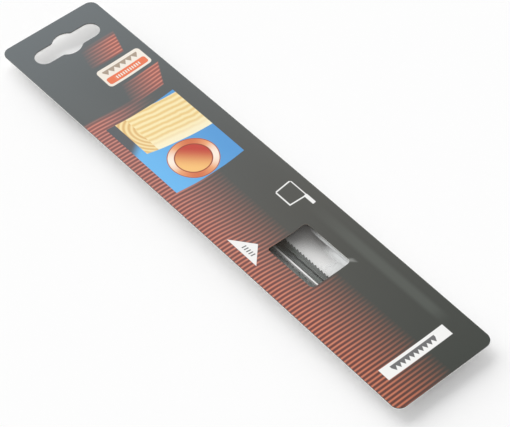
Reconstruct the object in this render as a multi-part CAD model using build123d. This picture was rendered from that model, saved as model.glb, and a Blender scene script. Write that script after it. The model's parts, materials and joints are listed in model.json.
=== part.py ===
from build123d import *
from math import asin, cos, degrees, pi, radians, sin, tan
import os

# A sealed hang pack that holds five pinned coping saw blades. Millimetres.
#
# The pack lies on its back. X runs across it, Y along it with the hang slot at +Y, and Z is up through the
# printed face. The origin is under the middle of the pack, on the surface that it lies on.
#
# Both sheets are curled a little: their long edges rise towards the middle of the length, and the front sinks
# between them. A position along the pack is given by its distance from the hanging end, the station.

# Sheets
pack_width = 50.0
corner_radius = 4.0
sheet_thickness = 0.4
seam_gap = 0.04
edge_rise = 1.2

# Lengths of the pack, from the hanging end: plain header, sloped ends of the tray, plain foot
header_length = 52.0
tray_end_slope = 12.0
blade_end_clearance = 2.0
foot_length = 10.0

# Sunk middle of the front: where it starts, two depths on the way, and how far past the foot it would end
trough_start = 20.0
upper_depth_station = 70.0
upper_depth = 1.6
lower_depth_station = 155.0
lower_depth = 2.4
trough_overrun = 10.0
trough_margin = 2.0
trough_flat = 8.0
trough_edge_handle = 5.0
trough_middle_handle = 7.0

# Floor of the tray pressed into the back sheet, and what is levelled off its underside
tray_floor_width = 31.0
tray_handle = 2.5
tray_levelling = 0.02

# Hang slot
slot_station = 15.2
slot_width = 33.6
slot_height = 9.3
slot_boss_diameter = 13.8
slot_fillet = 2.0

# Window and its film
window_station = 175.5
window_length = 27.2
window_width = 20.5
window_off_centre = 0.25
window_corner = 1.5
film_lap = 3.0
film_thickness = 0.15
film_gap = 0.02

# Blades
blade_count = 5
blade_length = 165.0
blade_width = 3.2
blade_thickness = 0.5
blade_end_chamfer = 0.5
blade_gap = 0.1
first_tooth_tip = 0.35

# The blades lie in two groups, with a free strip of the tray between them
far_blade_count = 2
free_strip = 2.25

# Teeth
teeth_per_inch = 14
tooth_depth = 0.8
toothed_length = 124.0
tooth_rake = 0.12
tooth_set_angle = 5.0

# Cross pins
pin_diameter = 1.5
pin_length = 3.6
pin_from_end = 2.5
pin_fit = 0.01
pin_side_gap = 0.1
pin_headroom = 0.93
floor_gap = 0.01

# Spacing of the sections that a sheet is lofted through, and how high the solids that trim it reach
plain_section_spacing = 13.0
slope_section_spacing = 3.0
tray_section_spacing = 28.0
trim_height = 30.0

# Each blade is tilted a little, so that its back edge lies over the next blade and its pins clear it
blade_step = blade_width / 2 + pin_diameter / 2 + pin_side_gap
blade_tilt = degrees(asin((blade_thickness + blade_gap) / blade_step))
tilt_sin = sin(radians(blade_tilt))
tilt_cos = cos(radians(blade_tilt))
pin_half_height = pin_length / 2 * tilt_cos + pin_diameter / 2 * tilt_sin
blade_height = sheet_thickness + floor_gap + pin_half_height
first_blade_x = first_tooth_tip - blade_width / 2 * tilt_cos
pin_offset = blade_length / 2 - pin_from_end

# The tray takes the blades, and the pack takes the tray
tray_start = header_length
tray_full_start = tray_start + tray_end_slope
tray_full_end = tray_full_start + blade_length + 2 * blade_end_clearance
tray_end = tray_full_end + tray_end_slope
pack_length = tray_end + foot_length
blade_middle_station = (tray_full_start + tray_full_end) / 2
flange_height = blade_height + pin_half_height + pin_headroom + sheet_thickness

trough_depths = [
    (trough_start, 0.0),
    (upper_depth_station, upper_depth),
    (lower_depth_station, lower_depth),
    (pack_length + trough_overrun, 0.0),
]


def ease(share):
    """Smooth step from 0 to 1."""
    share = min(max(share, 0.0), 1.0)
    return share * share * (3.0 - 2.0 * share)


def length_at(station):
    """Y of a station."""
    return pack_length / 2 - station


def trough_depth(station):
    """How far the middle of the front lies below its long edges at a station."""
    for (start, start_depth), (stop, stop_depth) in zip(trough_depths, trough_depths[1:]):
        if station <= stop:
            return start_depth + (stop_depth - start_depth) * ease((station - start) / (stop - start))
    return trough_depths[-1][1]


def edge_height(station):
    """Height of the front's upper face along its long edges."""
    return flange_height + edge_rise * sin(pi * station / pack_length)


def section(station, top, depth, flat, edge_handle, middle_handle, thickness):
    """Cross section of a sheet: flat margins that curve down to a flat middle."""
    y = length_at(station)
    edge = pack_width / 2
    bend = edge - trough_margin
    middle = flat / 2
    upper_side = [(edge, 0), (bend, 0), (bend - edge_handle, 0)]
    lower_side = [(middle + middle_handle, -depth), (middle, -depth)]
    side = upper_side + lower_side

    def line(height):
        right = [Vector(x, y, height + z) for x, z in side]
        left = [Vector(-x, y, height + z) for x, z in reversed(side)]
        return right, left

    def edges(right, left):
        return [
            Edge.make_line(right[0], right[1]),
            Edge.make_bezier(*right[1:]),
            Edge.make_line(right[-1], left[0]),
            Edge.make_bezier(*left[:-1]),
            Edge.make_line(left[-2], left[-1]),
        ]

    upper = line(top)
    lower = line(top - thickness)
    ends = [
        Edge.make_line(upper[0][0], lower[0][0]),
        Edge.make_line(upper[1][-1], lower[1][-1]),
    ]
    return Face(Wire(edges(*upper) + edges(*lower) + ends))


def front_section(station, drop=0.0, thickness=sheet_thickness):
    """Section that follows the front sheet, a given drop below its upper face."""
    top = edge_height(station) - drop
    depth = trough_depth(station)
    return section(station, top, depth, trough_flat, trough_edge_handle, trough_middle_handle, thickness)


def back_section(station):
    """Section of the back sheet: it follows the front at both ends and drops to the tray between them."""
    top = edge_height(station) - sheet_thickness - seam_gap
    into = ease((station - tray_start) / tray_end_slope)
    out = ease((tray_end - station) / tray_end_slope)

    def mix(plain, pressed):
        return plain + (pressed - plain) * into * out

    depth = mix(trough_depth(station), top - sheet_thickness)
    flat = mix(trough_flat, tray_floor_width)
    edge_handle = mix(trough_edge_handle, tray_handle)
    middle_handle = mix(trough_middle_handle, tray_handle)
    thickness = mix(sheet_thickness, sheet_thickness + tray_levelling)
    return section(station, top, depth, flat, edge_handle, middle_handle, thickness)


def section_stations(slope_spacing):
    """Stations of the sections that a sheet is lofted through, at its own spacing over the tray's slopes."""
    stretches = [
        (0.0, tray_start, plain_section_spacing),
        (tray_start, tray_full_start, slope_spacing),
        (tray_full_start, tray_full_end, tray_section_spacing),
        (tray_full_end, tray_end, slope_spacing),
        (tray_end, pack_length, plain_section_spacing),
    ]
    stations = [0.0]
    for start, stop, spacing in stretches:
        count = max(1, round((stop - start) / spacing))
        stations += [start + (stop - start) * i / count for i in range(1, count + 1)]
    return stations


def sheet(section_at, slope_spacing=tray_end_slope):
    """Whole sheet through its sections, still with square ends."""
    return loft([section_at(station) for station in section_stations(slope_spacing)], ruled=True)


def prism(shape):
    """Upright solid through the whole pack."""
    return extrude(shape, trim_height)


def pack_outline():
    """Outline that both sheets are cut to."""
    return prism(RectangleRounded(pack_width, pack_length, corner_radius))


def hang_slot():
    """Long slot with a round boss in its middle, softened where the two meet."""
    boss_radius = slot_boss_diameter / 2
    shape = Circle(boss_radius) + SlotOverall(slot_width, slot_height)
    meeting = [corner for corner in shape.vertices() if abs(Vector(corner).length - boss_radius) < pin_fit]
    shape = fillet(meeting, slot_fillet)
    return prism(Pos(0, length_at(slot_station)) * shape)


def window(lap=0.0):
    """Window opening, or what its film covers when it laps over the edge."""
    shape = RectangleRounded(window_width + 2 * lap, window_length + 2 * lap, window_corner)
    return prism(Pos(window_off_centre, length_at(window_station)) * shape)


def front_card():
    """Printed front sheet, with the hang slot and the window cut in it."""
    return (sheet(front_section) & pack_outline()) - hang_slot() - window()


def back_card():
    """Back sheet with its tray, whose underside the outline's flat lower end levels."""
    return (sheet(back_section, slope_section_spacing) & pack_outline()) - hang_slot()


def window_film():
    """Clear film that closes the window from inside."""

    def film_section(station):
        return front_section(station, sheet_thickness + film_gap, film_thickness)

    return sheet(film_section) & window(film_lap)


def blade_place(number):
    """Where a blade's middle lies, and how it is tilted."""
    x = first_blade_x - (number - 1) * blade_step
    if number > far_blade_count:
        x -= free_strip
    return Location((x, length_at(blade_middle_station), blade_height), (0, blade_tilt, 0))


def teeth(root):
    """Teeth that stand side by side on the blade's cut edge, bent to its two sides in turn."""
    pitch = 25.4 / teeth_per_inch
    count = int(toothed_length / pitch)
    bend = tooth_depth * tan(radians(tooth_set_angle))
    lower = -blade_thickness / 2
    group = []
    for i in range(count):
        face = (count / 2 - i) * pitch
        side = bend if i % 2 else -bend
        tip = (root + tooth_depth, face - tooth_rake, lower + side)
        outline = Polyline((root, face, lower), tip, (root, face - pitch, lower), close=True)
        group.append(extrude(make_face(outline), blade_thickness, dir=(0, 0, 1)))
    return group


def plain_blade():
    """One blade, flat, with its teeth towards +X."""
    outline = chamfer(Rectangle(blade_width, blade_length).vertices(), blade_end_chamfer)
    outline -= Pos((blade_width - tooth_depth) / 2, 0) * Rectangle(tooth_depth, toothed_length)
    for end in (-1, 1):
        outline -= Pos(0, end * pin_offset) * Circle(pin_diameter / 2 + pin_fit)
    body = extrude(outline, blade_thickness / 2, both=True)
    return body + teeth(blade_width / 2 - tooth_depth)


def plain_pin(end):
    """One pin, upright through its hole, at the hanging end (1) or the other (-1)."""
    return Pos(0, end * pin_offset, 0) * Cylinder(pin_diameter / 2, pin_length)


def build():
    """Every piece of the pack under its name."""
    pieces = {
        "front_card": front_card(),
        "back_card": back_card(),
        "window_film": window_film(),
    }
    blade = plain_blade()
    for number in range(1, blade_count + 1):
        place = blade_place(number)
        pieces[f"blade_{number}"] = place * blade
        pieces[f"pin_{number}_hang"] = place * plain_pin(1)
        pieces[f"pin_{number}_end"] = place * plain_pin(-1)
    return pieces


os.makedirs("parts", exist_ok=True)
for name, piece in build().items():
    solids = piece.solids()
    export_step(solids[0] if len(solids) == 1 else Compound(solids), f"parts/{name}.step")
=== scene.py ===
import json
from math import asin, cos, degrees, pi, radians, sin

import bmesh
import bpy
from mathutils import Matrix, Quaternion, Vector

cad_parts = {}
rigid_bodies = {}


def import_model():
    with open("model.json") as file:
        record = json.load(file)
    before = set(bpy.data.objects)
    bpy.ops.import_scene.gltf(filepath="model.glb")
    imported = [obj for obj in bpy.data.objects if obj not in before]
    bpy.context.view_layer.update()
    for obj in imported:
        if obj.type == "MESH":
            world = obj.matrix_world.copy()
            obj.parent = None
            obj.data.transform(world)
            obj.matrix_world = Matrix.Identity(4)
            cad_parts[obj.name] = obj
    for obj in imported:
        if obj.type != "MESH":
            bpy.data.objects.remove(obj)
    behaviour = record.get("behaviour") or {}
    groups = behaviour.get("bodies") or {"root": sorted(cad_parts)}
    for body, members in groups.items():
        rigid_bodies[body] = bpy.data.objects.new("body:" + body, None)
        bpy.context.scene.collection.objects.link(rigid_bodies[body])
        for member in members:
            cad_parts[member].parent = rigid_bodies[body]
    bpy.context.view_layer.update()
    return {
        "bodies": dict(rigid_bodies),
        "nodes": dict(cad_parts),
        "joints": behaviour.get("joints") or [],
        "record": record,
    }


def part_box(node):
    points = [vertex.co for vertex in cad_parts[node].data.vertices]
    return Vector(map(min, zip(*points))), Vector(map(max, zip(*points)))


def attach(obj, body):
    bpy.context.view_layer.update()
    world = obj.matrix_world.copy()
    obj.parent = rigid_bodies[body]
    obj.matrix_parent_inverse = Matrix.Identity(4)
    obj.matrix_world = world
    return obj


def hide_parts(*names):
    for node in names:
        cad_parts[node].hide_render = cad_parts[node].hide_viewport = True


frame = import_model()

MM = 0.001
front_low, front_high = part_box("front_card")

# Sheets, in millimetres. A station is a distance along the pack from its hanging end.
pack_width = (front_high.x - front_low.x) / MM
pack_length = (front_high.y - front_low.y) / MM
corner_radius = 4.0
sheet_thickness = 0.4
seam_gap = 0.04
edge_rise = 1.2
flange_height = 5.6

# Sunk middle of the front: its depth at some stations, how far from the middle its bend starts and ends,
# and the handles of the curve between
trough_depths = [(20.0, 0.0), (70.0, 1.6), (155.0, 2.4), (265.0, 0.0)]
trough_bend = 23.0
trough_flat = 4.0
trough_edge_handle = 5.0
trough_middle_handle = 7.0

# Tray pressed into the back: where it starts and ends, half the width of its floor, and its curve's handles
tray_start = 52.0
tray_end = 245.0
tray_end_slope = 12.0
tray_floor = 15.5
tray_handle = 2.5

# Rib of the tray that keeps the two groups of blades apart
rib_middle = -6.03
rib_half_width = 0.62
rib_side = 0.3
rib_height = 2.5
rib_start = 72.0
rib_end = 225.0
rib_end_slope = 6.0

# Hang slot and window
slot_station = 15.2
slot_width = 33.6
slot_height = 9.3
slot_boss = 13.8
slot_fillet = 2.0
window_station = 175.5
window_length = 27.2
window_width = 20.5
window_off_centre = 0.25
window_corner = 1.5

# How the sheets are made: columns and rows of each flat grid, how much larger than the pack it is, columns
# to each side of the rib's middle, and how the cutter and the cut sheet are cleaned
front_grid = (42, 128)
back_grid = (68, 172)
grid_margin = 1.0
rib_steps = 8
cutter_half_height = 30.0
cutter_merge = 0.001
sheet_merge = 0.002
sharp_angle = 40.0

# Flat layout of the front, in shares of the layout's side: where each part starts, and how much a
# millimetre takes. A face is on the printed side or the underside when it points far enough up or down,
# and on the edge of an opening when it lies within its reach.
layout_margin = 0.01
printed_scale = (1.0 - 2 * layout_margin) / (pack_length / 2)
second_half_start = 0.395
underside_start = 0.79
underside_scale = (0.0038, 0.0028)
edges_start = 0.94
edge_strip = 0.0038
edge_scale = (0.0038, 0.006)
facing_limit = 0.3
edge_reach = 1.0

# Camera, from the photograph's perspective
camera_place = Vector((-330.3, -438.6, 625.5)) * MM
camera_aim = Vector((-2.0, -17.5, 5.6)) * MM
camera_roll = -2.97
camera_lens = 142.7


class Term:
    """A value in a finish. Arithmetic on it adds Math nodes."""

    def __init__(self, finish, socket):
        self.finish = finish
        self.socket = socket

    def __add__(self, other):
        return self.finish.math("ADD", self, other)

    def __radd__(self, other):
        return self.finish.math("ADD", other, self)

    def __sub__(self, other):
        return self.finish.math("SUBTRACT", self, other)

    def __rsub__(self, other):
        return self.finish.math("SUBTRACT", other, self)

    def __mul__(self, other):
        return self.finish.math("MULTIPLY", self, other)

    def __rmul__(self, other):
        return self.finish.math("MULTIPLY", other, self)

    def __truediv__(self, other):
        return self.finish.math("DIVIDE", self, other)

    def __abs__(self):
        return self.finish.math("ABSOLUTE", self)


class Nodes:
    """The nodes of a material or of the surroundings, and maths on their values."""

    def __init__(self, owner):
        owner.use_nodes = True
        self.tree = owner.node_tree
        self.tree.nodes.clear()

    def node(self, kind, settings=None, sockets=None, output=0):
        """Adds a node: its settings, with a ramp's stops, and then values or links for its sockets."""
        node = self.tree.nodes.new(kind)
        for key, value in (settings or {}).items():
            if key != "stops":
                setattr(node, key, value)
                continue
            stops = node.color_ramp.elements
            stops[0].position, stops[0].color = value[0]
            stops[1].position, stops[1].color = value[-1]
            for position, colour in value[1:-1]:
                stops.new(position).color = colour
        for key, value in (sockets or {}).items():
            if isinstance(value, Term):
                self.tree.links.new(value.socket, node.inputs[key])
            else:
                node.inputs[key].default_value = value
        return Term(self, node.outputs[output]) if output is not None else node

    def math(self, operation, *values):
        return self.node("ShaderNodeMath", {"operation": operation}, dict(enumerate(values)))

    def low(self, first, second):
        return self.math("MINIMUM", first, second)

    def high(self, first, second):
        return self.math("MAXIMUM", first, second)


class Finish(Nodes):
    """A procedural material. It reads the piece's own coordinates, in millimetres."""

    def __init__(self, name):
        self.material = bpy.data.materials.new(name)
        super().__init__(self.material)
        self.place = self.node("ShaderNodeTexCoord", output="Object")
        self.x = self.part_of(self.place, 0) / MM
        self.y = self.part_of(self.place, 1) / MM
        self.up = self.part_of(self.node("ShaderNodeTexCoord", output="Normal"), 2)

    def part_of(self, vector, axis):
        """One axis of a vector."""
        return self.node("ShaderNodeSeparateXYZ", sockets={0: vector}, output=axis)

    def from_edges(self):
        """How far a point lies from the hanging end and from the far long edge."""
        return pack_length / 2 - self.y, pack_width / 2 - self.x

    def rise(self, value, start, stop):
        """Smooth step from 0 at start to 1 at stop."""
        places = {"Value": value, "From Min": start, "From Max": stop}
        return self.node("ShaderNodeMapRange", {"interpolation_type": "SMOOTHSTEP"}, places)

    def share(self, value):
        """Value kept between 0 and 1."""
        return self.low(self.high(value, 0.0), 1.0)

    def ramp(self, value, *stops):
        """Colour through stops, each a value and a colour."""
        start, stop = stops[0][0], stops[-1][0]
        places = [((place - start) / (stop - start), colour) for place, colour in stops]
        return self.node("ShaderNodeValToRGB", {"stops": places}, {0: (value - start) / (stop - start)})

    def wave(self, value, period):
        """Cosine between 0 and 1."""
        return 0.5 + 0.5 * self.math("COSINE", value * (2 * pi / period))

    def inside(self, depth, soft=0.12):
        """Mask from how deep a point lies inside a shape: 1 inside, 0 outside."""
        return self.rise(depth, -soft, soft)

    def band(self, value, start, stop):
        """How deep a value lies between two limits."""
        return self.low(value - start, stop - value)

    def box(self, u, v, low_u, high_u, low_v, high_v, radius=0.0):
        """How deep a point lies inside a box with round corners."""
        over_u = abs(u - (low_u + high_u) / 2) - ((high_u - low_u) / 2 - radius)
        over_v = abs(v - (low_v + high_v) / 2) - ((high_v - low_v) / 2 - radius)
        out_u = self.high(over_u, 0.0)
        out_v = self.high(over_v, 0.0)
        corner = self.math("SQRT", out_u * out_u + out_v * out_v)
        return radius - corner - self.low(self.high(over_u, over_v), 0.0)

    def disc(self, u, v, middle_u, middle_v, radius):
        """How deep a point lies inside a circle."""
        off_u = u - middle_u
        off_v = v - middle_v
        return radius - self.math("SQRT", off_u * off_u + off_v * off_v)

    def mix(self, share, first, second):
        """Colour that goes from the first to the second."""
        settings = {"data_type": "RGBA", "clamp_factor": True}
        return self.node("ShaderNodeMix", settings, {0: share, 6: first, 7: second}, 2)

    def noise(self, period, detail=2.0):
        """Noise between 0 and 1. The period is in millimetres, one value or one for each axis."""
        periods = period if isinstance(period, tuple) else (period,) * 3
        scale = [1 / (MM * p) for p in periods]
        stretched = self.node("ShaderNodeMapping", {}, {"Vector": self.place, "Scale": scale})
        return self.node("ShaderNodeTexNoise", {}, {"Vector": stretched, "Scale": 1.0, "Detail": detail})

    def bump(self, height, distance):
        """Normal over a height between 0 and 1 that stands for a distance in millimetres."""
        return self.node("ShaderNodeBump", {}, {"Height": height, "Distance": distance * MM})

    def principled(self, **sockets):
        """Principled shader. A socket's words are joined by underscores."""
        named = {name.replace("_", " "): value for name, value in sockets.items()}
        return self.node("ShaderNodeBsdfPrincipled", {}, named)

    def cover(self, share, under, over):
        """Shader that goes from the one under to the one over it."""
        return self.node("ShaderNodeMixShader", {}, {0: share, 1: under, 2: over})

    def end(self, shader):
        self.node("ShaderNodeOutputMaterial", {}, {"Surface": shader}, None)
        return self.material


def shade(red, green, blue):
    """Linear colour of a shade given on a scale of 255."""

    def linear(value):
        share = value / 255
        return share / 12.92 if share <= 0.04045 else ((share + 0.055) / 1.055) ** 2.4

    return (linear(red), linear(green), linear(blue), 1.0)


def ease(share):
    share = min(max(share, 0.0), 1.0)
    return share * share * (3.0 - 2.0 * share)


def trough_depth(station):
    """How far the middle of the front lies below its long edges."""
    for (start, start_depth), (stop, stop_depth) in zip(trough_depths, trough_depths[1:]):
        if station <= stop:
            return start_depth + (stop_depth - start_depth) * ease((station - start) / (stop - start))
    return trough_depths[-1][1]


def edge_height(station):
    """Height of the front's upper face along its long edges."""
    return flange_height + edge_rise * sin(pi * station / pack_length)


def sunk_share(across, flat, edge_handle, middle_handle, halvings=24):
    """How far down the curve between a sheet's margin and its flat middle a point lies, from 0 to 1."""
    across = abs(across)
    if across >= trough_bend:
        return 0.0
    if across <= flat:
        return 1.0
    low, high = 0.0, 1.0
    for _ in range(halvings):
        t = (low + high) / 2
        rest = 1 - t
        x = rest**3 * trough_bend + 3 * rest * rest * t * (trough_bend - edge_handle)
        x += 3 * rest * t * t * (flat + middle_handle) + t**3 * flat
        if x > across:
            low = t
        else:
            high = t
    return t * t * (3.0 - 2.0 * t)


def front_height(across, station):
    """Height of the front's upper face."""
    share = sunk_share(across, trough_flat, trough_edge_handle, trough_middle_handle)
    return edge_height(station) - trough_depth(station) * share


def rib_rise(across, station):
    """How far the rib between the two groups of blades stands up from the tray's floor."""
    side = ease((rib_half_width - abs(across - rib_middle)) / rib_side)
    ends = ease((station - rib_start) / rib_end_slope) * ease((rib_end - station) / rib_end_slope)
    return rib_height * side * ends


def back_height(across, station):
    """Height of the back's upper face: as the front's at both ends, and down to the tray between them."""
    top = edge_height(station) - sheet_thickness - seam_gap
    tray = ease((station - tray_start) / tray_end_slope) * ease((tray_end - station) / tray_end_slope)

    def blend(plain, pressed):
        return plain + (pressed - plain) * tray

    flat = blend(trough_flat, tray_floor)
    edge_handle = blend(trough_edge_handle, tray_handle)
    middle_handle = blend(trough_middle_handle, tray_handle)
    share = sunk_share(across, flat, edge_handle, middle_handle)
    return top - blend(trough_depth(station), top - sheet_thickness) * share + rib_rise(across, station)


def station_of(y):
    """Distance from the hanging end."""
    return pack_length / 2 - y


def round_box(middle_x, middle_y, width, length, radius, steps=10):
    """Closed line round a box with round corners, in millimetres."""
    points = []
    for turn in range(4):
        side_x = (width / 2 - radius) * (1 if turn in (0, 3) else -1)
        side_y = (length / 2 - radius) * (1 if turn in (0, 1) else -1)
        for step in range(steps + 1):
            angle = radians(90 * (turn + step / steps))
            x = middle_x + side_x + radius * cos(angle)
            y = middle_y + side_y + radius * sin(angle)
            points.append((x, y))
    return points


def arc(middle_x, middle_y, radius, start, stop, steps=16):
    """Points along an arc between two angles in degrees."""
    angles = [radians(start + (stop - start) * step / steps) for step in range(steps + 1)]
    return [(middle_x + radius * cos(angle), middle_y + radius * sin(angle)) for angle in angles]


def slot_line(fillet_steps=8):
    """Closed line round the hang slot: a long slot with a round boss in its middle, and soft joins."""
    half_height = slot_height / 2
    end = slot_width / 2 - half_height
    boss = slot_boss / 2
    rise = half_height + slot_fillet
    turn = degrees(asin(rise / (boss + slot_fillet)))
    fillet_x = (boss + slot_fillet) * cos(radians(turn))
    upper = arc(end, 0, half_height, 0, 90)
    upper += arc(fillet_x, rise, slot_fillet, 270, 180 + turn, fillet_steps)
    upper += arc(0, 0, boss, turn, 180 - turn)
    upper += arc(-fillet_x, rise, slot_fillet, -turn, -90, fillet_steps)
    upper += arc(-end, 0, half_height, 90, 180)
    around = upper[:-1] + [(-x, -y) for x, y in upper[:-1]]
    return [(x, y + pack_length / 2 - slot_station) for x, y in around]


def punch(name, lines):
    """Upright solid inside the first closed line and outside the others."""
    curve = bpy.data.curves.new(name, "CURVE")
    curve.dimensions = "2D"
    curve.fill_mode = "BOTH"
    curve.extrude = cutter_half_height * MM
    for line in lines:
        spline = curve.splines.new("POLY")
        spline.points.add(len(line) - 1)
        for point, (x, y) in zip(spline.points, line):
            point.co = (x * MM, y * MM, 0.0, 1.0)
        spline.use_cyclic_u = True
    shape = bpy.data.objects.new(name, curve)
    mesh = bpy.data.meshes.new_from_object(shape)
    bpy.data.objects.remove(shape)
    bm = bmesh.new()
    bm.from_mesh(mesh)
    bmesh.ops.remove_doubles(bm, verts=bm.verts, dist=cutter_merge * MM)
    bmesh.ops.recalc_face_normals(bm, faces=bm.faces)
    bm.to_mesh(mesh)
    bm.free()
    solid = bpy.data.objects.new(name, mesh)
    bpy.context.scene.collection.objects.link(solid)
    return solid


def apply_modifiers(piece):
    """Puts the mesh that the modifiers make in place of the piece's own."""
    view = bpy.context.evaluated_depsgraph_get()
    mesh = bpy.data.meshes.new_from_object(piece.evaluated_get(view))
    piece.modifiers.clear()
    piece.data = mesh


def pressed_sheet(name, height, grid, lines, extra_columns=()):
    """Thin sheet that follows a height, cut to the lines."""
    grid_width = pack_width + grid_margin
    grid_length = pack_length + grid_margin
    bm = bmesh.new()
    bmesh.ops.create_grid(bm, x_segments=grid[0], y_segments=grid[1], size=0.5)
    for x in extra_columns:
        everything = bm.verts[:] + bm.edges[:] + bm.faces[:]
        column = Vector((x / grid_width, 0, 0))
        bmesh.ops.bisect_plane(bm, geom=everything, plane_co=column, plane_no=(1, 0, 0), dist=1e-6)
    side = bmesh.ops.extrude_face_region(bm, geom=bm.faces[:], use_keep_orig=True)
    upper = {v for v in side["geom"] if isinstance(v, bmesh.types.BMVert)}
    for vert in bm.verts:
        x = vert.co.x * grid_width
        y = vert.co.y * grid_length
        z = height(x, station_of(y)) - (0 if vert in upper else sheet_thickness)
        vert.co = Vector((x, y, z)) * MM
    bmesh.ops.recalc_face_normals(bm, faces=bm.faces)
    mesh = bpy.data.meshes.new(name)
    bm.to_mesh(mesh)
    bm.free()
    sheet = bpy.data.objects.new(name, mesh)
    bpy.context.scene.collection.objects.link(sheet)
    cutter = punch(name + "_outline", lines)
    cut = sheet.modifiers.new("outline", "BOOLEAN")
    cut.operation = "INTERSECT"
    cut.solver = "EXACT"
    cut.object = cutter
    apply_modifiers(sheet)
    bpy.data.objects.remove(cutter)
    bm = bmesh.new()
    bm.from_mesh(sheet.data)
    bmesh.ops.remove_doubles(bm, verts=bm.verts, dist=sheet_merge * MM)
    sharp = radians(sharp_angle)
    for face in bm.faces:
        face.smooth = True
    for edge in bm.edges:
        edge.smooth = edge.is_manifold and edge.calc_face_angle(0) < sharp
    bm.to_mesh(sheet.data)
    bm.free()
    return sheet


def cut_edge(x, station):
    """Which cut edge a point lies on: 0 the outline, 1 the hang slot or 2 the window."""
    beside_slot = abs(station - slot_station) - slot_boss / 2
    beside_window = abs(station - window_station) - window_length / 2
    if beside_slot < edge_reach and abs(x) < slot_width / 2 + edge_reach:
        return 1
    if beside_window < edge_reach and abs(x - window_off_centre) < window_width / 2 + edge_reach:
        return 2
    return 0


def lay_out_print(sheet):
    """Flat layout of the front: its printed side in two halves, its underside, and its edges in strips."""
    bm = bmesh.new()
    bm.from_mesh(sheet.data)
    layer = bm.loops.layers.uv.new("OFBake")
    half_length = pack_length / 2
    for face in bm.faces:
        middle = face.calc_center_median() / MM
        station = station_of(middle.y)
        sideways = abs(face.normal.x) > abs(face.normal.y)
        faces_on = (face.normal.x if sideways else face.normal.y) > 0
        strip = 4 * cut_edge(middle.x, station) + 2 * sideways + faces_on
        for loop in face.loops:
            x, y, z = loop.vert.co / MM
            along = station_of(y)
            if face.normal.z > facing_limit:
                half = station > half_length
                u = (along - half * half_length) * printed_scale
                v = (x + pack_width / 2) * printed_scale + half * second_half_start
            elif face.normal.z < -facing_limit:
                u = along * underside_scale[0]
                v = underside_start + (pack_width / 2 - x) * underside_scale[1]
            else:
                u = ((y if sideways else x) + half_length) * edge_scale[0]
                v = edges_start + strip * edge_strip + (front_height(x, along) - z) * edge_scale[1]
            loop[layer].uv = (layout_margin + u, layout_margin + v)
    bm.to_mesh(sheet.data)
    bm.free()


def dress(piece, finish):
    """Gives a piece one material."""
    piece.data.materials.clear()
    piece.data.materials.append(finish)


# Print on the front, in millimetres: s runs from the hanging end and t from the far long edge
stripe_period = 1.905
label_white = shade(246, 238, 226)
label_orange = shade(238, 122, 80)
label_grey = shade(174, 156, 138)


def black_ground(ink, s, t):
    """Black ink, greyer towards the hanging end, partly as a painted reflection of the gloss; with a
    painted sheen where the far side bends down and a painted highlight on a small crease beside the window.
    """
    # Greyer towards the hanging end: partly the ink's own tone, partly a painted reflection of the gloss
    # haze
    ground = ink.ramp(
        s,
        (0.0, shade(98, 105, 108)),
        (66.0, shade(86, 90, 90)),
        (150.0, shade(74, 74, 69)),
        (255.0, shade(42, 47, 40)),
    )
    # Painted sheen: a lighter band where the far side bends down
    bend_sheen = ink.rise(abs(t - 7.2), 3.4, 0.8) * ink.rise(s, 150.0, 190.0) * ink.rise(s, 238.0, 226.0)
    ground = ink.mix(bend_sheen * 0.12, ground, shade(148, 156, 148))
    # Painted highlight: a short pale line along a small crease beside the window's far foot corner
    crease_highlight = ink.inside(ink.box(s + 1.05 * t, t, 202.4, 204.5, 13.2, 16.0), 0.9)
    return ink.mix(crease_highlight * 0.38, ground, shade(190, 192, 188))


def line_colour(ink, s):
    """Brick lines, each with a light and a dark half."""
    dark = ink.ramp(
        s,
        (56.0, shade(152, 90, 82)),
        (70.0, shade(130, 82, 79)),
        (205.0, shade(106, 54, 48)),
        (255.0, shade(90, 44, 32)),
    )
    light = ink.ramp(
        s,
        (56.0, shade(214, 132, 114)),
        (70.0, shade(202, 130, 117)),
        (205.0, shade(210, 126, 98)),
        (255.0, shade(198, 112, 80)),
    )
    return ink.mix(ink.rise(ink.wave(s, stripe_period), 0.25, 1.0), dark, light)


def stripes(ink, s, t, ground):
    """Fine lines across the pack, from the picture down, that fade out towards the far edge."""
    fade = ink.math("POWER", ink.share((t - 22.0) / 24.0), 0.9)
    fade = ink.high(fade, ink.rise(t, 42.0, 45.0) * ink.rise(s, 118.0, 114.0))
    upper = ink.rise(t, 14.0, 48.0) * ink.rise(s, 67.5, 66.5)
    beside = ink.rise(s, 59.5, 63.3)
    return ink.mix(beside * ink.high(fade, upper), ground, line_colour(ink, s))


def title_band(ink, s, t, ground):
    """Two fields of the same lines, before and after the label, that fade out towards the near edge."""
    before = ink.low(ink.band(s, 20.0, 35.5), t - 0.33 * s + 2.0)
    after = ink.low(ink.band(s, 51.1, 62.9), t - 0.53 * s + 24.2)
    field = ink.inside(ink.high(before, after), 0.5) * ink.rise(s, 21.8, 26.4)
    drift = ink.low(0.25 * (s - 26.0), 1.8)
    step = 3.6 * ink.rise(s, 42.0, 46.0)
    regain = 0.3 * ink.high(s - 52.0, 0.0)
    fade = ink.share((25.0 + drift - step + regain - t) / 15.0)
    return ink.mix(field * fade, ground, line_colour(ink, s))


def saw_sign(ink, s, t, back, root, tip, start, stop, pitch):
    """Mask of a small saw blade drawn across the pack, with its teeth towards the foot."""
    tooth = ink.math("PINGPONG", t - start, pitch / 2) * (2 / pitch)
    edge = root + (tip - root) * tooth
    return ink.inside(ink.low(s - back, edge - s)) * ink.inside(ink.band(t, start, stop))


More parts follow.
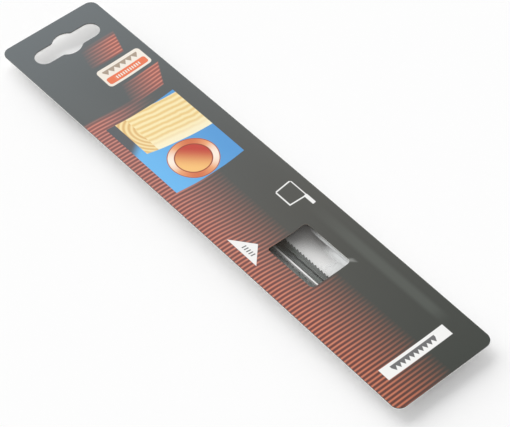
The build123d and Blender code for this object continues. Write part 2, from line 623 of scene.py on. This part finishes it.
def label(ink, s, t, ground):
    """White label with a small saw blade, over an orange field with a pale row of dashes."""
    plate = ink.inside(ink.box(s, t, 37.8, 49.1, 3.9, 26.9, 1.8))
    field = ink.inside(ink.box(s, t, 43.8, 47.9, 5.0, 25.8, 1.2))
    dash = ink.inside(ink.math("PINGPONG", t, 0.6) - 0.28, 0.1)
    dashes = dash * ink.inside(ink.box(s, t, 45.0, 46.7, 8.7, 21.9))
    orange = ink.mix(dashes, label_orange, label_white)
    face = ink.mix(saw_sign(ink, s, t, 39.5, 40.2, 42.5, 6.0, 24.6, 3.1), label_white, label_grey)
    return ink.mix(plate, ground, ink.mix(field, face, orange))


def picture(ink, s, t, ground):
    """Picture of what the blades cut: a wooden block and the end of a copper tube, on blue."""
    start, stop, far_side, near_side = 68.3, 115.8, 8.3, 44.2
    blue = ink.mix(ink.rise(t, far_side, near_side), shade(84, 156, 218), shade(104, 184, 240))
    corner = ink.rise(s - t * 0.8, 56.0, 49.0)
    blue = ink.mix(corner, blue, shade(84, 88, 92))
    lean = s + t * 0.16
    grain = ink.wave(lean + 2.6 * ink.noise((9.0, 30.0, 9.0), 3.0), 2.9)
    wood = ink.mix(grain, shade(238, 204, 134), shade(252, 236, 184))
    wood = ink.mix(ink.rise(lean, 88.0, 96.0), wood, shade(252, 242, 206))
    block = ink.inside(ink.low(ink.band(lean, 71.5, 96.5), ink.band(t, 5.0, 39.5)))
    end_rings = ink.wave(ink.disc(lean, t, 84.0, 28.0, 0.0), 2.1)
    end_face = ink.mix(end_rings, shade(226, 184, 118), shade(250, 228, 170))
    wood = ink.mix(ink.inside(t - 34.0), wood, end_face)
    scene = ink.mix(block, blue, wood)
    tube_s, tube_t, tube_radius = 104.2, 26.0, 11.2
    tube_depth = ink.disc(s, t, tube_s, tube_t, tube_radius)
    turn = ink.math("ARCTAN2", s - tube_s, t - tube_t)
    copper = ink.ramp(
        ink.wave(turn + 0.5, pi),
        (0.0, shade(216, 116, 72)),
        (0.5, shade(240, 168, 116)),
        (1.0, shade(255, 240, 224)),
    )
    bore = ink.mix(ink.rise(s + t, 122.0, 139.0), shade(196, 62, 46), shade(250, 196, 120))
    bore = ink.mix(ink.inside(tube_depth - 3.5, 0.2), shade(150, 62, 40), bore)
    tube = ink.mix(ink.inside(tube_depth - 3.0), copper, bore)
    tube = ink.mix(ink.inside(tube_depth - 0.4), shade(176, 92, 60), tube)
    scene = ink.mix(ink.inside(tube_depth), scene, tube)
    return ink.mix(ink.inside(ink.box(s, t, start, stop, far_side, near_side)), ground, scene)


def small_signs(ink, s, t, ground):
    """White signs: a saw frame, a triangle with five strokes, and a strip with a small saw blade."""
    lean = s + (t - 5.3) * 0.17
    frame = ink.low(ink.low(s - 141.4, 152.4 - lean), ink.band(t, 5.1, 13.5))
    opening = ink.low(ink.low(s - 142.05, 151.75 - lean), ink.band(t, 5.55, 12.9))
    corners = ink.low(s + t - 147.3, s - t - 128.6)
    saw_frame = ink.inside(ink.low(frame, corners)) * (1 - ink.inside(opening))
    handle = ink.inside(ink.box(s, t, 151.4, 157.3, 4.9, 6.5, 0.4))
    triangle = ink.inside(ink.low((t - 36.2) - abs(s - 157.7) * 0.935, 44.7 - t))
    strip = ink.inside(ink.box(s, t, 236.1, 242.1, 9.7, 42.9))
    white = ink.high(ink.high(saw_frame, handle), ink.high(triangle, strip))
    face = ink.mix(white, ground, shade(244, 244, 242))
    stroke = ink.inside(ink.math("PINGPONG", s - 155.0, 0.7) - 0.42, 0.1)
    strokes = stroke * ink.inside(ink.box(s, t, 155.0, 162.0, 40.6, 42.9))
    blade = saw_sign(ink, s, t, 237.5, 238.6, 240.7, 15.6, 38.4, 2.28)
    return ink.mix(ink.high(strokes, blade) * 0.9, face, shade(66, 66, 68))


def printed_front():
    """Gloss print over the front: black, fine brick lines, a label, a picture and small signs."""
    ink = Finish("printed_front")
    s, t = ink.from_edges()
    print_colour = black_ground(ink, s, t)
    for layer in (stripes, title_band, label, picture, small_signs):
        print_colour = layer(ink, s, t, print_colour)
    # Cut faces beside the window: lifted to a brown grey as painted light so they blend with the shaded
    # tray; white along the far side, faded out towards the hanging end as painted shade; paler still at the
    # hanging end as painted light
    beside_window = ink.inside(ink.box(s, t, 161.0, 190.0, 14.0, 36.0))
    far_side = ink.rise(s, 165.0, 173.0) * ink.inside(17.0 - t)
    cut_face_and_painted_light = ink.mix(beside_window, shade(52, 54, 50), shade(100, 96, 90))
    cut_face_and_painted_light = ink.mix(beside_window * far_side, cut_face_and_painted_light, shade(240, 240, 234))
    cut_face_and_painted_light = ink.mix(beside_window * ink.rise(s, 166.0, 163.0), cut_face_and_painted_light, shade(160, 150, 140))
    board = ink.mix(ink.rise(ink.up, -0.3, -0.6), cut_face_and_painted_light, shade(92, 82, 74))
    waviness = ink.noise((14.0, 26.0, 14.0))
    shader = ink.principled(
        Base_Color=ink.mix(ink.rise(ink.up, 0.3, 0.6), board, print_colour),
        Roughness=0.5,
        Specular_IOR_Level=0.1,
        Coat_Weight=0.9,
        Coat_Roughness=0.1,
        Normal=ink.bump(waviness, 0.1),
    )
    return ink.end(shader)


def white_sheet():
    """Satin white plastic of the tray."""
    white = Finish("white_sheet")
    tone = white.mix(white.noise(18.0), shade(248, 248, 247), shade(242, 241, 239))
    grain = white.bump(white.noise(3.0, 3.0), 0.02)
    return white.end(white.principled(Base_Color=tone, Roughness=0.38, Normal=grain))


def clear_film():
    """Clear film with a little gloss, milky where it is fused, with a painted sheen towards the foot and
    painted shade at its hanging end.
    """
    film = Finish("clear_film")
    s, t = film.from_edges()
    # Milky where it is fused, fading out towards the hanging end as painted shade
    fused = film.inside(film.box(s, t, 165.5, 189.6, 14.0, 15.65, 0.6)) * film.rise(s, 164.0, 176.0)
    # Painted sheen on the far side and at the foot end of the window
    painted_far_sheen = film.rise(t, 20.0, 16.5) * film.rise(t, 15.3, 16.0) * film.rise(s, 174.0, 185.0)
    painted_foot_sheen = film.rise(s, 179.0, 189.0) * film.rise(t, 25.6, 24.2) * 0.4
    milk_and_sheen = film.high(film.high(fused * 0.42, painted_far_sheen * 0.6), painted_foot_sheen)
    # Painted shade: a dark brown layer over the hanging end of the window, darker over the blades
    painted_shade_hang_end = film.rise(s + 1.3 * film.low(t - 25.0, 0.0), 173.0, 159.0)
    painted_shade_over_blades = film.rise(t, 25.5, 27.0) * (0.15 + 0.25 * film.rise(t, 32.0, 29.0))
    painted_shade_share = painted_shade_hang_end * 0.25 + painted_shade_over_blades * film.rise(s, 176.0, 163.0)
    gloss = film.node("ShaderNodeBsdfGlossy", {}, {"Color": (1, 1, 1, 1), "Roughness": 0.08})
    clear = film.node("ShaderNodeBsdfTransparent")
    milky_and_sheen_layer = film.node("ShaderNodeBsdfDiffuse", {}, {"Color": shade(236, 238, 238)})
    # Dark brown that stands in for shade
    painted_shade_layer = film.node("ShaderNodeBsdfDiffuse", {}, {"Color": shade(50, 46, 41)})
    surface = film.cover(0.02, clear, gloss)
    surface = film.cover(painted_shade_share, surface, painted_shade_layer)
    return film.end(film.cover(milk_and_sheen, surface, milky_and_sheen_layer))


def blade_steel():
    """Dark hardened steel with grinding lines along the blade, and paler edge faces: sheared steel,
    lightened further as painted light where they reflect dark.
    """
    steel = Finish("blade_steel")
    lines = steel.noise((0.3, 40.0, 0.3), 3.0)
    stain = steel.noise(6.0)
    sheared_and_lit_edges = steel.rise(abs(steel.up), 0.75, 0.5)
    tone = steel.mix(lines, shade(74, 78, 75), shade(128, 131, 128))
    tone = steel.mix(steel.rise(stain, 0.5, 0.75) * 0.6, tone, shade(92, 106, 98))
    # Edge faces paler: partly the sheared steel, partly painted light that lifts their dark reflections
    tone = steel.mix(sheared_and_lit_edges * 0.8, tone, shade(142, 144, 140))
    shader = steel.principled(
        Base_Color=tone,
        Metallic=1.0 - 0.6 * sheared_and_lit_edges,
        Roughness=0.32 + 0.1 * stain + 0.2 * sheared_and_lit_edges,
        Normal=steel.bump(lines, 0.01),
    )
    return steel.end(shader)


def pin_steel():
    """Plain drawn steel."""
    steel = Finish("pin_steel")
    tone = steel.mix(steel.noise(0.6), shade(150, 150, 148), shade(176, 176, 172))
    return steel.end(steel.principled(Base_Color=tone, Metallic=1.0, Roughness=0.3))


def build_pack():
    """Both sheets in place of the plain ones, and a finish for every piece."""
    outline = round_box(0, 0, pack_width, pack_length, corner_radius)
    slot = slot_line()
    window_y = pack_length / 2 - window_station
    window = round_box(window_off_centre, window_y, window_width, window_length, window_corner)
    front = pressed_sheet("printed_sheet", front_height, front_grid, [outline, slot, window])
    lay_out_print(front)
    rib_step = rib_half_width / rib_steps
    rib_columns = [rib_middle + rib_step * step for step in range(-rib_steps, rib_steps + 1)]
    back = pressed_sheet("tray_sheet", back_height, back_grid, [outline, slot], rib_columns)
    for sheet, node, finish, slot_name in (
        (front, "front_card", printed_front(), "printed_front"),
        (back, "back_card", white_sheet(), "white_back"),
    ):
        dress(sheet, finish)
        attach(sheet, "root")
        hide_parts(node)
    steel, pins = blade_steel(), pin_steel()
    for name, piece in frame["nodes"].items():
        if name.startswith("blade"):
            dress(piece, steel)
        elif name.startswith("pin"):
            dress(piece, pins)
        elif name == "window_film":
            dress(piece, clear_film())


def build_stage():
    """Pale floor, white surroundings and a soft sun."""
    floor_radius = 3.0
    ambient = 0.63
    sun_strength = 2.5
    sun_from = Vector((0.11, 0.86, 0.46))
    sun_angle = 68

    bm = bmesh.new()
    bmesh.ops.create_circle(bm, cap_ends=True, segments=64, radius=floor_radius)
    mesh = bpy.data.meshes.new("floor")
    bm.to_mesh(mesh)
    bm.free()
    floor = bpy.data.objects.new("floor", mesh)
    bpy.context.scene.collection.objects.link(floor)
    paint = Finish("floor")
    shader = paint.principled(Base_Color=(0.98, 0.98, 0.98, 1.0), Roughness=1.0, Specular_IOR_Level=0.0)
    floor.data.materials.append(paint.end(shader))

    world = bpy.data.worlds.new("surroundings")
    bpy.context.scene.world = world
    sky = Nodes(world)
    seen, mirrored, passed = [
        sky.node("ShaderNodeLightPath", output=ray)
        for ray in ("Is Camera Ray", "Is Glossy Ray", "Is Transmission Ray")
    ]
    white = sky.high(sky.high(seen, mirrored), passed)
    strength = ambient + (1.0 - ambient) * white
    background = sky.node("ShaderNodeBackground", {}, {"Color": (1, 1, 1, 1), "Strength": strength})
    sky.node("ShaderNodeOutputWorld", {}, {"Surface": background}, None)

    sun_data = bpy.data.lights.new("sun", "SUN")
    sun_data.energy = sun_strength
    sun_data.angle = radians(sun_angle)
    sun = bpy.data.objects.new("sun", sun_data)
    sun.rotation_mode = "QUATERNION"
    sun.rotation_quaternion = sun_from.to_track_quat("Z", "Y")
    sun.visible_glossy = False
    bpy.context.scene.collection.objects.link(sun)


def build_camera():
    """Camera that takes the photograph's view."""
    lens = bpy.data.cameras.new("camera")
    lens.lens = camera_lens
    lens.clip_start = 0.01
    lens.clip_end = 20.0
    camera = bpy.data.objects.new("camera", lens)
    camera.rotation_mode = "QUATERNION"
    camera.location = camera_place
    backwards = (camera_place - camera_aim).normalized()
    level = backwards.to_track_quat("Z", "Y")
    camera.rotation_quaternion = level @ Quaternion((0, 0, 1), radians(camera_roll))
    bpy.context.scene.collection.objects.link(camera)
    bpy.context.scene.camera = camera


build_pack()
build_stage()
build_camera()
bpy.context.scene.view_settings.view_transform = "Standard"
